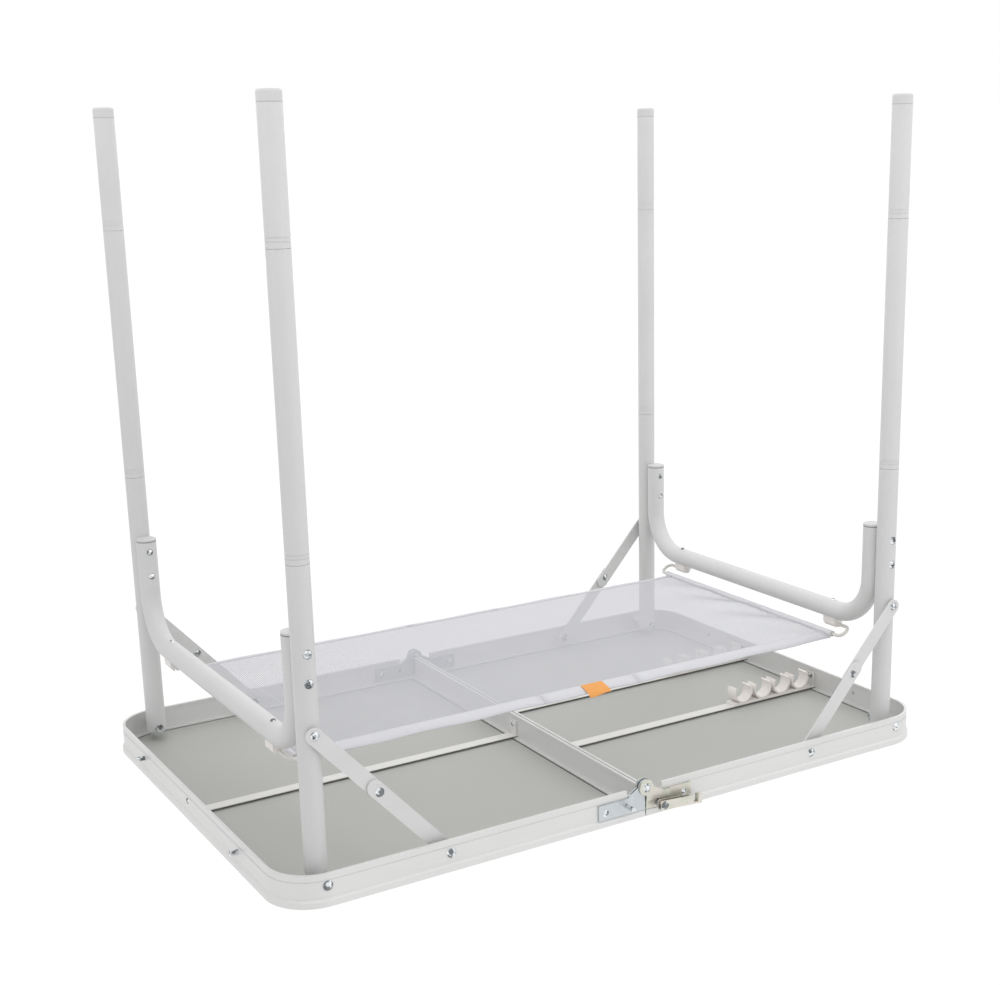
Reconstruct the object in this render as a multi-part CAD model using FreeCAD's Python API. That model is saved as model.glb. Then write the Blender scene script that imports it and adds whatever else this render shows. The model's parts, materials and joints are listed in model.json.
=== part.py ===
import FreeCAD, Part
import math
import os

# Folding camping table, standing on its feet. Millimetres, +Z up, origin on the floor under the middle.
# Right is +X, left is -X, front is -Y, back is +Y.

# Tabletop and rim extrusion
table_length = 800.0        # over the rim lips
table_width = 528.0         # over the rim lips
fold_gap = 1.5              # between the two halves
rail_height = 33.0
rail_wall = 1.6
lip_reach = 2.0             # lip beyond the rail's wall
lip_height = 8.5
lip_round = 1.4
corner_radius = 46.0        # of the wall's outer face
bead_width = 3.0            # thickened free edge
bead_height = 2.5
flange_width = 6.0          # over the board's edge
flange_thickness = 1.2
ledge_width = 5.0           # under the board's edge
groove_rise = 6.5           # free edge to the line round the rim's outside
groove_width = 1.0
groove_depth = 0.45
board_thickness = 3.6
board_play = 0.5

# Stiffening slats under the boards
slat_width = 14.0
slat_thickness = 2.0
slat_tab = 20.0             # bent end, down the rail
slat_y = 68.0               # the left half's two slats

# Storage clips
clip_count = 4
clip_pitch = 30.0
clip_margin = 10.4          # from the end rail to the strip
clip_length = 16.0          # along the stored tube
clip_wall = 2.0
clip_play = 0.3
clip_base = 3.0
clip_sink = 1.0             # ring let into the base
clip_mouth_half_angle = 56.0

# Legs
pivot_inset = 43.0          # end wall to leg pivot
pivot_drop = 21.0           # tabletop to leg pivot
leg_inset = 25.4            # long wall's inner face to leg axis
tube_diameter = 22.0
tube_wall = 1.4
leg_overhang = 4.0          # tube beyond its pivot
plug_dome = 7.5
plug_depth = 26.0
upper_leg_reach = 300.5     # pivot to first plug joint
leg_tube_length = 273.5     # first to second plug joint
foot_length = 129.0         # second plug joint to floor
joint_gap = 0.3
neck_length = 50.0
ring_offsets = [6.0, 9.5]   # rolled rings below a plug joint
ring_width = 1.0
ring_depth = 0.35
cap_height = 11.0
cap_round = 2.5
cap_depth = 16.0

# Cross-bar between a pair of legs
bar_drop = 115.5            # leg pivot to bar
bar_end_drop = 229.5        # leg pivot to the bar's cut ends
bar_bend = 52.0
bar_gap = 0.4               # between bar and leg
bar_cap = 3.0
frame_screw_drops = [190.5, 218.5]

# Shelf wire, hooks and net
hook_inset = 62.6           # cross-bar's upright to hook
hook_length = 20.0
hook_width = 12.0
hook_barrel = 9.0
hook_rise = 17.0            # bar axis to wire axis
hook_slot = 3.2
wire_diameter = 4.0
wire_reach = 14.0           # wire beyond the net's edge
wire_tail = 12.0            # wire's end beyond the middle of its hook
wire_bend = 7.0
net_inset = 14.0            # hook to hem wire, towards the fold
net_rise = 8.0              # hook to hem wire, upwards
net_margin = 46.6           # cross-bar's upright to net
net_thickness = 1.0
hem_width = 16.0
hem_thickness = 2.0
sleeve_inner = 16.0         # end hem, towards the fold
sleeve_outer = 4.0
sleeve_thickness = 8.0
sleeve_play = 0.4
net_columns = 24
net_rows = 12
net_rib = 3.0

# Folding stays
stay_span = 128.5           # leg pivot to rail bolt, along the rail
stay_rise = 1.8             # rail bolt above the leg pivot
stay_drop = 142.0           # leg pivot to the stay's leg screw
stay_upper_length = 91.0
stay_width = 16.0
stay_thickness = 2.0
stay_end = 15.0             # link beyond the centre rivet
stay_off_leg = 2.6
stay_layer_gap = 0.4
dimple_radius = 1.8
dimple_height = 0.7

# Hinge plates, pins, studs and swing hooks
plate_length = 58.0
plate_thickness = 2.0
inner_plate_thickness = 1.6
plate_low = 7.5             # plate's lower edge above the rail's free edge
ear_radius = 8.5
ear_gap = 0.4
ear_web = 22.0
ear_rise = 15.0             # top of the offset ear above the pin
joggle_start = 18.0
notch_length = 22.0
notch_height = 5.5
hinge_pin_radius = 2.5
plate_rivet_x = 49.4
plate_rivet_drop = 16.0     # tabletop to rivet
stud_radius = 2.6
stud_x = 23.0
stud_drop = 17.2
stud_reach = 12.0           # beyond the hinge plate
end_stud_y = 145.0
end_stud_drop = 20.0
latch_x = 17.0
latch_drop = 12.6
latch_tilt = 4.3            # degrees, tip towards the tabletop
latch_catch = 40.0          # pivot to catch notch
latch_tip = 8.0             # beyond the catch notch
latch_depth = 10.0
latch_width = 6.0
latch_sheet = 1.2
latch_standoff = 5.0
end_hook_catch = 26.0
end_hook_tip = 8.0
end_hook_width = 4.6
end_hook_standoff = 1.4

# Fasteners
bolt_radius = 3.0
bolt_head_radius = 5.0
bolt_head_height = 3.0
nut_radius = 5.0
nut_height = 4.0
stay_nut_height = 1.8
spacer_radius = 5.2
screw_radius = 2.5
screw_head_radius = 4.5
screw_head_height = 2.4
hook_screw_radius = 1.6
hook_screw_head = 3.2
recess_span = 0.62          # cross recess, share of the head's width
recess_width = 1.1
recess_depth = 1.5
rivet_radius = 1.6
rivet_head_radius = 3.6
rivet_head_height = 1.5
pin_head_radius = 5.0
pin_head_height = 2.4
pin_tail_height = 1.5

# Fits
running = 0.05              # radial, shaft in bore
side_play = 0.3             # between pieces that turn on one another
hole_play = 0.1             # radial, fixed fastener in its hole
seat_depth = 1.0            # head let into a round tube
hook_seat_depth = 0.6
overrun = 20.0              # cutters run past what they cut

# Derived places
second_joint_z = foot_length
first_joint_z = second_joint_z + leg_tube_length
pivot_z = first_joint_z + upper_leg_reach
top = pivot_z + pivot_drop
rail_z = top - rail_height
flange_z = top - flange_thickness
groove_z = rail_z + groove_rise
board_z = flange_z - board_thickness
ledge_z = board_z - flange_thickness
wall_x = table_length / 2 - lip_reach
wall_y = table_width / 2 - lip_reach
inner_x = wall_x - rail_wall
inner_y = wall_y - rail_wall
fold_x = fold_gap / 2
pivot_x = wall_x - pivot_inset
stay_x = pivot_x - stay_span
clip_start = inner_x - clip_margin - clip_count * clip_pitch
tube_radius = tube_diameter / 2
bore_radius = tube_radius - tube_wall
neck_radius = bore_radius - running
leg_y = inner_y - leg_inset
leg_crown = leg_y + tube_radius
bar_z = pivot_z - bar_drop
bar_y = leg_y - tube_diameter - bar_gap
bar_crown = bar_y - tube_radius
hook_y = bar_y - hook_inset
hook_z = bar_z + hook_rise
wire_radius = wire_diameter / 2
net_half_width = bar_y - net_margin
wire_end_y = net_half_width + wire_reach
wire_tail_y = hook_y - wire_tail
hem_x = pivot_x - net_inset
net_z = hook_z + net_rise
stay_z = pivot_z + stay_rise
stay_leg_z = pivot_z - stay_drop
upper_layer = leg_crown + stay_off_leg
lower_layer = upper_layer + stay_thickness + stay_layer_gap
plate_face = wall_y + plate_thickness
ear_face = plate_face + ear_gap + plate_thickness
inner_plate_face = inner_y - inner_plate_thickness
inner_ear_face = inner_plate_face - ear_gap - inner_plate_thickness
plate_top = top - lip_height
plate_bottom = rail_z + plate_low
end_stud_reach = end_hook_standoff + end_hook_width + 2 * side_play + rivet_head_height

AXIS_X = FreeCAD.Vector(1, 0, 0)
AXIS_Y = FreeCAD.Vector(0, 1, 0)
AXIS_Z = FreeCAD.Vector(0, 0, 1)
SIDES = {"right": 1, "left": -1}
ENDS = {"front": -1, "back": 1}


def vec(x, y, z):
    return FreeCAD.Vector(x, y, z)


def box(x_range, y_range, z_range):
    low = vec(min(x_range), min(y_range), min(z_range))
    high = vec(max(x_range), max(y_range), max(z_range))
    size = high - low
    return Part.makeBox(size.x, size.y, size.z, low)


def rod(start, end, radius):
    return Part.makeCylinder(radius, (end - start).Length, start, end - start)


def joined(shapes):
    if len(shapes) == 1:
        return shapes[0]
    return shapes[0].multiFuse(shapes[1:]).removeSplitter()


def without(shape, cutters):
    return shape.cut(cutters) if cutters else shape


def mirrored(shape, axis):
    return shape.mirror(vec(0, 0, 0), axis)


def outline(points, radii):
    # closed flat wire; each corner is rounded by its radius, and a zero leaves it sharp
    edges = []
    entries = []
    exits = []
    middles = []
    count = len(points)
    for i in range(count):
        here = points[i]
        back = (points[i - 1] - here).normalize()
        ahead = (points[(i + 1) % count] - here).normalize()
        if radii[i] == 0:
            entries.append(here)
            exits.append(here)
            middles.append(None)
            continue
        half = back.getAngle(ahead) / 2
        setback = radii[i] / math.tan(half)
        bisector = (back + ahead).normalize()
        entries.append(here + back * setback)
        exits.append(here + ahead * setback)
        middles.append(here + bisector * (radii[i] / math.sin(half) - radii[i]))
    for i in range(count):
        if middles[i] is not None:
            edges.append(Part.Arc(entries[i], middles[i], exits[i]).toShape())
        edges.append(Part.LineSegment(exits[i], entries[(i + 1) % count]).toShape())
    return Part.Wire(edges)


def prism(points, radii, direction):
    return Part.Face(outline(points, radii)).extrude(direction)


def flat_xz(points, y_range):
    # straight-sided plate from (x, z) points, between two planes across Y
    corners = [vec(x, min(y_range), z) for x, z in points]
    return prism(corners, [0] * len(corners), AXIS_Y * (max(y_range) - min(y_range)))


def dome(at, axis, radius, height):
    # round cap of a sphere, standing on the plane through the point
    side = axis.cross(AXIS_Z if abs(axis.z) == 0 else AXIS_X).normalize()
    sphere = (radius ** 2 + height ** 2) / (2 * height)
    centre = at + axis * (height - sphere)
    half = math.asin(radius / sphere) / 2
    middle = centre + side * (sphere * math.sin(half)) + axis * (sphere * math.cos(half))
    rim_point = at + side * radius
    tip = at + axis * height
    edges = [
        Part.LineSegment(at, rim_point).toShape(),
        Part.Arc(rim_point, middle, tip).toShape(),
        Part.LineSegment(tip, at).toShape(),
    ]
    return Part.Face(Part.Wire(edges)).revolve(at, axis, 360)


def headed_pin(at, axis, radius, length, head_radius, head_height):
    # domed head on the plane through the point, shank going back along the axis
    return joined([dome(at, axis, head_radius, head_height), rod(at, at - axis * length, radius)])


def cross_screw(at, axis, radius, length, head_radius, head_height):
    # headed pin with a cross recess
    side = axis.cross(AXIS_Z if abs(axis.z) == 0 else AXIS_X).normalize()
    up = side.cross(axis).normalize()
    start = at + axis * (head_height - recess_depth)
    span = recess_span * head_radius
    arms = []
    for along, across in ((side, up), (up, side)):
        corner = start - along * span - across * (recess_width / 2)
        corners = [corner, corner + along * (2 * span), corner + along * (2 * span) + across * recess_width,
                   corner + across * recess_width]
        arms.append(prism(corners, [0] * len(corners), axis * (recess_depth + overrun)))
    return headed_pin(at, axis, radius, length, head_radius, head_height).cut(arms)


def hex_nut(at, axis, radius, height):
    side = axis.cross(AXIS_Z).normalize()
    up = side.cross(axis).normalize()
    corners = []
    for i in range(6):
        turn = i * math.pi / 3
        corners.append(at + side * (radius * math.cos(turn)) + up * (radius * math.sin(turn)))
    return prism(corners, [0] * len(corners), axis * height)


def bent_tube(points, bend, radius):
    # round bar along straight runs joined by tangent arcs
    edges = []
    start = points[0]
    for i in range(1, len(points) - 1):
        here = points[i]
        back = (points[i - 1] - here).normalize()
        ahead = (points[i + 1] - here).normalize()
        half = back.getAngle(ahead) / 2
        setback = bend / math.tan(half)
        bisector = (back + ahead).normalize()
        middle = here + bisector * (bend / math.sin(half) - bend)
        edges.append(Part.LineSegment(start, here + back * setback).toShape())
        edges.append(Part.Arc(here + back * setback, middle, here + ahead * setback).toShape())
        start = here + ahead * setback
    edges.append(Part.LineSegment(start, points[-1]).toShape())
    section = Part.Wire(Part.makeCircle(radius, points[0], points[1] - points[0]))
    return Part.Wire(edges).makePipeShell([section], True, False)


# Tabletop


def rail_section(place):
    # closed section of the rim; place turns (outward, height) into a point
    inside = -rail_wall
    points = [
        (lip_reach, top), (lip_reach, top - lip_height + lip_reach), (0, top - lip_height),
        (0, groove_z + groove_width / 2), (-groove_depth, groove_z + groove_width / 2),
        (-groove_depth, groove_z - groove_width / 2), (0, groove_z - groove_width / 2), (0, rail_z),
        (-bead_width, rail_z), (-bead_width, rail_z + bead_height), (inside, rail_z + bead_height),
        (inside, ledge_z), (inside - ledge_width, ledge_z), (inside - ledge_width, board_z),
        (inside, board_z), (inside, flange_z), (inside - flange_width, flange_z),
        (inside - flange_width, top),
    ]
    radii = [0] * len(points)
    radii[0] = lip_round
    return Part.Face(outline([place(n, z) for n, z in points], radii))


def hinge_notch(end):
    # clears the pin and the ears at the fold
    return box((-notch_length, notch_length), (end * (inner_y - overrun), end * (wall_y + overrun)),
               (rail_z - overrun, rail_z + notch_height))


def rim(side):
    run = wall_x - corner_radius - fold_x
    end_run = wall_y - corner_radius
    pieces = []
    for end in ENDS.values():
        straight = rail_section(lambda n, z: vec(fold_x, end * (wall_y + n), z))
        pieces.append(straight.extrude(AXIS_X * run))
        corner = rail_section(lambda n, z: vec(wall_x + n, end * end_run, z))
        pieces.append(corner.revolve(vec(wall_x - corner_radius, end * end_run, 0), AXIS_Z, end * 90))
    across = rail_section(lambda n, z: vec(wall_x + n, -end_run, z))
    pieces.append(across.extrude(AXIS_Y * (2 * end_run)))
    shape = joined(pieces)
    if SIDES[side] < 0:
        shape = mirrored(shape, AXIS_X)
    return without(shape, [hinge_notch(end) for end in ENDS.values()] + rail_holes(side))


def centre_rail(side, rim_shape):
    points = [
        (0, top), (0, rail_z), (bead_width, rail_z), (bead_width, rail_z + bead_height),
        (rail_wall, rail_z + bead_height), (rail_wall, ledge_z), (rail_wall + ledge_width, ledge_z),
        (rail_wall + ledge_width, board_z), (rail_wall, board_z), (rail_wall, flange_z),
        (rail_wall + flange_width, flange_z), (rail_wall + flange_width, top),
    ]
    reach = inner_ear_face - pin_tail_height
    corners = [vec(fold_x + n, -reach, z) for n, z in points]
    shape = prism(corners, [0] * len(corners), AXIS_Y * (2 * reach))
    if SIDES[side] < 0:
        shape = mirrored(shape, AXIS_X)
    return without(shape, [rim_shape] + rail_holes(side))


def board(side):
    near = fold_x + rail_wall + board_play
    far = inner_x - board_play
    half_width = inner_y - board_play
    round_end = corner_radius - rail_wall - board_play
    corners = [vec(near, -half_width, board_z), vec(far, -half_width, board_z),
               vec(far, half_width, board_z), vec(near, half_width, board_z)]
    shape = prism(corners, [0, round_end, round_end, 0], AXIS_Z * board_thickness)
    return mirrored(shape, AXIS_X) if SIDES[side] < 0 else shape


def slat_places(side):
    return [0.0] if SIDES[side] > 0 else [-slat_y, slat_y]


def slats(side):
    sign = SIDES[side]
    near = fold_x + rail_wall
    shapes = []
    for y in slat_places(side):
        across = (y - slat_width / 2, y + slat_width / 2)
        strip = box((sign * near, sign * inner_x), across, (ledge_z - slat_thickness, ledge_z))
        drop = (ledge_z - slat_tab, ledge_z)
        tabs = [box((sign * near, sign * (near + slat_thickness)), across, drop),
                box((sign * (inner_x - slat_thickness), sign * inner_x), across, drop)]
        shapes.append(without(joined([strip] + tabs), rail_holes(side)))
    return shapes


def clip_strip(end):
    base_top = ledge_z - slat_thickness
    base_low = base_top - clip_base
    inner = tube_radius + clip_play
    outer = inner + clip_wall
    centre_z = base_low - outer + clip_sink
    across = (end * slat_y - clip_length / 2, end * slat_y + clip_length / 2)
    length = clip_count * clip_pitch
    pieces = [box((-clip_start, -clip_start - length), across, (base_low, base_top))]
    mouths = []
    reach = 2 * outer
    half = math.radians(clip_mouth_half_angle)
    for i in range(clip_count):
        x = -clip_start - clip_pitch * (i + 1 / 2)
        pieces.append(rod(vec(x, across[0], centre_z), vec(x, across[1], centre_z), outer))
        mouths.append(rod(vec(x, across[0] - overrun, centre_z), vec(x, across[1] + overrun, centre_z),
                          inner))
        spread = reach * math.sin(half)
        depth = centre_z - reach * math.cos(half)
        mouths.append(flat_xz([(x, centre_z), (x - spread, depth), (x + spread, depth)],
                              (across[0] - overrun, across[1] + overrun)))
    return without(joined(pieces), mouths)


# Hinges, studs and swing hooks


def hinge_plate(side, end, seat, face, ear_back, ear_front):
    # plate seated on the rail from seat to face, with an ear on the fold's pin
    sign = SIDES[side]
    body = [(fold_x, plate_top), (plate_length, plate_top), (plate_length, plate_bottom),
            (ear_web, plate_bottom), (ear_radius, rail_z), (fold_x, rail_z)]
    plate = flat_xz([(sign * x, z) for x, z in body], (end * seat, end * face))
    ear = rod(vec(0, end * ear_back, rail_z), vec(0, end * ear_front, rail_z), ear_radius)
    if side == "left":
        room = rod(vec(0, end * (seat - overrun), rail_z), vec(0, end * (seat + overrun), rail_z),
                   ear_radius + ear_gap)
        plate = plate.cut(room)
        high = rail_z + ear_rise
        web = [(-ear_web - ear_radius, high), (0, high), (0, rail_z), (-ear_radius, rail_z),
               (-ear_web, plate_bottom), (-ear_web - ear_radius, plate_bottom)]
        offset_web = flat_xz(web, (end * ear_back, end * ear_front))
        joggle = [(-ear_web - ear_radius, high), (-joggle_start, high), (-joggle_start, plate_bottom),
                  (-ear_web - ear_radius, plate_bottom)]
        bridge = flat_xz(joggle, (end * seat, end * ear_front))
        return joined([plate, offset_web, bridge, ear])
    return joined([plate, ear])


def hinge_plates(side):
    shapes = []
    for end in ENDS.values():
        if side == "right":
            outer = hinge_plate(side, end, wall_y, plate_face, wall_y + ear_gap, plate_face)
            inner = hinge_plate(side, end, inner_y, inner_plate_face, inner_y - ear_gap, inner_plate_face)
        else:
            outer = hinge_plate(side, end, wall_y, plate_face, plate_face + ear_gap, ear_face)
            inner = hinge_plate(side, end, inner_y, inner_plate_face,
                                inner_plate_face - ear_gap, inner_ear_face)
        bore = hinge_pin_radius + (running if side == "right" else 0)
        pin_hole = rod(vec(0, end * (inner_ear_face - overrun), rail_z),
                       vec(0, end * (ear_face + overrun), rail_z), bore)
        room = [box((0, -SIDES[side] * plate_length), (end * (seat - ear_gap), end * (seat + ear_gap)),
                    (rail_z - overrun, top)) for seat in (wall_y, inner_y)]
        holes = [pin_hole] + rail_holes(side)
        shapes += [without(outer, holes + room[:1]), without(inner, holes + room[1:])]
    return shapes


def hinge_pins():
    shapes = []
    for end in ENDS.values():
        out = AXIS_Y * end
        length = ear_face - inner_ear_face
        pin = headed_pin(vec(0, end * ear_face, rail_z), out, hinge_pin_radius, length,
                         pin_head_radius, pin_head_height)
        tail = dome(vec(0, end * inner_ear_face, rail_z), out * -1, pin_head_radius, pin_tail_height)
        shapes.append(joined([pin, tail]))
    return shapes


def catch_studs():
    shapes = []
    for end in ENDS.values():
        stud_z = top - stud_drop
        shapes.append(rod(vec(stud_x, end * inner_plate_face, stud_z),
                          vec(stud_x, end * (plate_face + stud_reach), stud_z), stud_radius))
        end_z = top - end_stud_drop
        shapes.append(rod(vec(inner_x, end * end_stud_y, end_z),
                          vec(wall_x + end_stud_reach, end * end_stud_y, end_z), stud_radius))
    return shapes


def channel_hook(pivot, along, out, down, catch, tip, width, bore):
    # swing hook: channel of sheet metal, open on its down side, with a catch notch in both flanges
    length = catch + tip
    half = latch_depth / 2
    start = pivot - along * half - down * half

    def block(shift, size_along, size_out, size_down):
        base = start + shift
        corners = [base, base + along * size_along, base + along * size_along + out * size_out,
                   base + out * size_out]
        return prism(corners, [0] * len(corners), down * size_down)

    body = block(vec(0, 0, 0), half + length, width, latch_depth)
    hollow = block(down * latch_sheet + out * latch_sheet - along * overrun, half + length + 2 * overrun,
                   width - 2 * latch_sheet, latch_depth + overrun)
    slot_half = stud_radius + side_play
    slot = block(along * (half + catch - slot_half) + down * (half - slot_half) - out * overrun,
                 2 * slot_half, width + 2 * overrun, latch_depth + overrun)
    hole = rod(pivot - out * overrun, pivot + out * (width + overrun), bore)
    return body.cut([hollow, slot, hole])


def hook_latch(end):
    tilt = math.radians(latch_tilt)
    along = vec(-math.cos(tilt), 0, math.sin(tilt))
    down = vec(-math.sin(tilt), 0, -math.cos(tilt))
    pivot = vec(-latch_x, end * (plate_face + latch_standoff + side_play), top - latch_drop)
    return channel_hook(pivot, along, AXIS_Y * end, down, latch_catch, latch_tip, latch_width,
                        screw_radius + running)


def end_hook(end):
    pivot = vec(-wall_x - end_hook_standoff - side_play, end * end_stud_y, top - end_stud_drop)
    return channel_hook(pivot, AXIS_Y * -end, AXIS_X * -1, AXIS_Z * -1, end_hook_catch, end_hook_tip,
                        end_hook_width, screw_radius + running)


def swing_pivot(at, out, depth, standoff, width):
    # shouldered rivet that a swing hook turns on; the point is on the face that carries it
    shoulder = rod(at, at + out * standoff, screw_head_radius)
    neck = standoff + width + 2 * side_play
    head = headed_pin(at + out * neck, out, screw_radius, neck + depth, screw_head_radius, rivet_head_height)
    return joined([head, shoulder])


def rivet(at, out, grip):
    # domed on both sides of what it holds together
    head = headed_pin(at, out, rivet_radius, grip, rivet_head_radius, rivet_head_height)
    tail = dome(at - out * grip, out * -1, rivet_head_radius, rivet_head_height)
    return joined([head, tail])


def slat_rivet_z():
    return pivot_z


def rivets(side):
    sign = SIDES[side]
    shapes = []
    for y in slat_places(side):
        grip = rail_wall + slat_thickness
        shapes.append(rivet(vec(sign * wall_x, y, slat_rivet_z()), AXIS_X * sign, grip))
        tail_at = vec(sign * (fold_x + grip), y, slat_rivet_z())
        flush = rod(vec(sign * fold_x, y, slat_rivet_z()), tail_at, rivet_radius)
        shapes.append(joined([flush, dome(tail_at, AXIS_X * sign, rivet_head_radius, rivet_head_height)]))
    for end in ENDS.values():
        place = vec(sign * plate_rivet_x, end * plate_face, top - plate_rivet_drop)
        shapes.append(rivet(place, AXIS_Y * end, plate_face - inner_plate_face))
        if side == "left":
            at = vec(-latch_x, end * plate_face, top - latch_drop)
            shapes.append(swing_pivot(at, AXIS_Y * end, plate_face - inner_plate_face,
                                      latch_standoff, latch_width))
            at = vec(-wall_x, end * end_stud_y, top - end_stud_drop)
            shapes.append(swing_pivot(at, AXIS_X * -1, rail_wall, end_hook_standoff, end_hook_width))
    return shapes


def rail_holes(side):
    # holes for everything that is fastened through the rim, the rails, the slats and the plates
    sign = SIDES[side]
    holes = []
    for end in ENDS.values():
        for x, z in ((pivot_x, pivot_z), (stay_x, stay_z)):
            holes.append(rod(vec(sign * x, end * (inner_y - overrun), z),
                             vec(sign * x, end * (wall_y + overrun), z), bolt_radius + hole_play))
        spots = [(plate_rivet_x, top - plate_rivet_drop, rivet_radius)]
        if side == "right":
            spots.append((stud_x, top - stud_drop, stud_radius))
            end_radius = stud_radius
        else:
            spots.append((latch_x, top - latch_drop, screw_radius))
            end_radius = screw_radius
        for x, z, radius in spots:
            holes.append(rod(vec(sign * x, end * (inner_y - overrun), z),
                             vec(sign * x, end * (wall_y + overrun), z), radius))
        end_z = top - end_stud_drop
        holes.append(rod(vec(sign * (inner_x - overrun), end * end_stud_y, end_z),
                         vec(sign * (wall_x + overrun), end * end_stud_y, end_z), end_radius))
    for y in slat_places(side):
        for x in (fold_x + rail_wall, wall_x):
            holes.append(rod(vec(sign * (x - overrun), y, slat_rivet_z()),
                             vec(sign * (x + overrun), y, slat_rivet_z()), rivet_radius))
    return holes


def rail_bolts(side):
    sign = SIDES[side]
    shapes = []
    for end in ENDS.values():
        out = AXIS_Y * end
        nut_face = leg_y - tube_radius - side_play
        head = vec(sign * pivot_x, end * wall_y, pivot_z)
        bolt = headed_pin(head, out, bolt_radius, wall_y - nut_face + nut_height, bolt_head_radius,
                          bolt_head_height)
        nut = hex_nut(vec(sign * pivot_x, end * nut_face, pivot_z), out * -1, nut_radius, nut_height)
        shapes.append(joined([bolt, nut]))
        nut_face = lower_layer - side_play
        head = vec(sign * stay_x, end * wall_y, stay_z)
        bolt = headed_pin(head, out, bolt_radius, wall_y - nut_face + stay_nut_height, bolt_head_radius,
                          bolt_head_height)
        nut = hex_nut(vec(sign * stay_x, end * nut_face, stay_z), out * -1, nut_radius, stay_nut_height)
        shapes.append(joined([bolt, nut]))
    return shapes


def leg_spacers(side, rim_shape):
    # rings on the bolts, shaped to the rail where it starts to curve
    sign = SIDES[side]
    shapes = []
    for end in ENDS.values():
        for x, z, reach in ((pivot_x, pivot_z, leg_crown + side_play),
                            (stay_x, stay_z, lower_layer + stay_thickness + side_play)):
            start = vec(sign * x, end * inner_y, z)
            stop = vec(sign * x, end * reach, z)
            ring = rod(start, stop, spacer_radius)
            shapes.append(ring.cut([rod(start, stop, bolt_radius), rim_shape]))
    return shapes


# Legs


def hollow_tube(x, y, low, high):
    tube = rod(vec(x, y, low), vec(x, y, high), tube_radius)
    return tube.cut(rod(vec(x, y, low - overrun), vec(x, y, high + overrun), bore_radius))


def screws_of_leg(side, end):
    # frame screws through leg and cross-bar, and the stay's shouldered screw
    x = SIDES[side] * pivot_x
    out = AXIS_Y * end
    shapes = []
    for drop in frame_screw_drops:
        seat = leg_crown - seat_depth
        far = bar_crown + seat_depth
        head = cross_screw(vec(x, end * seat, pivot_z - drop), out, screw_radius, seat - far,
                           screw_head_radius, screw_head_height)
        tail = dome(vec(x, end * far, pivot_z - drop), out * -1, rivet_head_radius, screw_head_height)
        shapes.append(joined([head, tail]))
    shoulder = rod(vec(x, end * (leg_crown - seat_depth), stay_leg_z),
                   vec(x, end * (upper_layer - side_play), stay_leg_z), screw_head_radius)
    seat = upper_layer + stay_thickness + side_play
    head = cross_screw(vec(x, end * seat, stay_leg_z), out, screw_radius, seat - leg_y,
                       screw_head_radius, screw_head_height)
    shapes.append(joined([shoulder, head]))
    return shapes


def screw_seats(side, end):
    # holes and flat seats that the leg's screws need in the tubes
    x = SIDES[side] * pivot_x
    seat = leg_crown - seat_depth
    far = bar_crown + seat_depth
    cutters = []
    for drop in frame_screw_drops:
        z = pivot_z - drop
        cutters.append(rod(vec(x, end * (far - overrun), z), vec(x, end * (seat + overrun), z),
                           screw_radius))
        cutters.append(rod(vec(x, end * seat, z), vec(x, end * (seat + overrun), z), screw_head_radius))
        cutters.append(rod(vec(x, end * far, z), vec(x, end * (far - overrun), z), rivet_head_radius))
    outside = vec(x, end * (seat + overrun), stay_leg_z)
    cutters.append(rod(vec(x, end * leg_y, stay_leg_z), outside, screw_radius))
    cutters.append(rod(vec(x, end * seat, stay_leg_z), outside, screw_head_radius))
    return cutters


def hook_screw(side, end):
    sign = SIDES[side]
    seat = bar_z - tube_radius + hook_seat_depth
    tip = hook_z - hook_barrel / 2
    return cross_screw(vec(sign * pivot_x, end * hook_y, seat), AXIS_Z * -1, hook_screw_radius, tip - seat,
                       hook_screw_head, screw_head_height)


def frame_screws(side):
    shapes = []
    for end in ENDS.values():
        shapes += screws_of_leg(side, end)
        shapes.append(hook_screw(side, end))
    return shapes


def pivot_bore(side, end):
    x = SIDES[side] * pivot_x
    inside = vec(x, end * (leg_y - tube_diameter), pivot_z)
    outside = vec(x, end * (leg_y + tube_diameter), pivot_z)
    return rod(inside, outside, bolt_radius + running)


def upper_leg(side, end):
    tube = hollow_tube(SIDES[side] * pivot_x, end * leg_y, first_joint_z, pivot_z + leg_overhang)
    return tube.cut(screw_seats(side, end) + [pivot_bore(side, end)])


def tube_plugs(side):
    x = SIDES[side] * pivot_x
    shapes = []
    for end in ENDS.values():
        y = end * leg_y
        rim_z = pivot_z + leg_overhang
        stem = rod(vec(x, y, rim_z - plug_depth), vec(x, y, rim_z), bore_radius)
        plug = joined([stem, dome(vec(x, y, rim_z), AXIS_Z, tube_radius, plug_dome)])
        shapes.append(plug.cut(pivot_bore(side, end)))
        low = pivot_z - bar_end_drop
        y = end * bar_y
        stem = rod(vec(x, y, low), vec(x, y, low + cap_depth / 2), bore_radius)
        flange = rod(vec(x, y, low - bar_cap), vec(x, y, low), tube_radius)
        shapes.append(joined([stem, flange]))
    return shapes


def cross_bar(side):
    x = SIDES[side] * pivot_x
    low = pivot_z - bar_end_drop
    route = [vec(x, -bar_y, low), vec(x, -bar_y, bar_z), vec(x, bar_y, bar_z), vec(x, bar_y, low)]
    bar = bent_tube(route, bar_bend, tube_radius).cut(bent_tube(route, bar_bend, bore_radius))
    cutters = []
    for end in ENDS.values():
        seat = bar_z - tube_radius + hook_seat_depth
        cutters += screw_seats(side, end)
        y = end * hook_y
        cutters.append(rod(vec(x, y, seat), vec(x, y, bar_z + overrun), hook_screw_radius))
        cutters.append(rod(vec(x, y, seat), vec(x, y, seat - overrun), hook_screw_head))
    return bar.cut(cutters)


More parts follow.
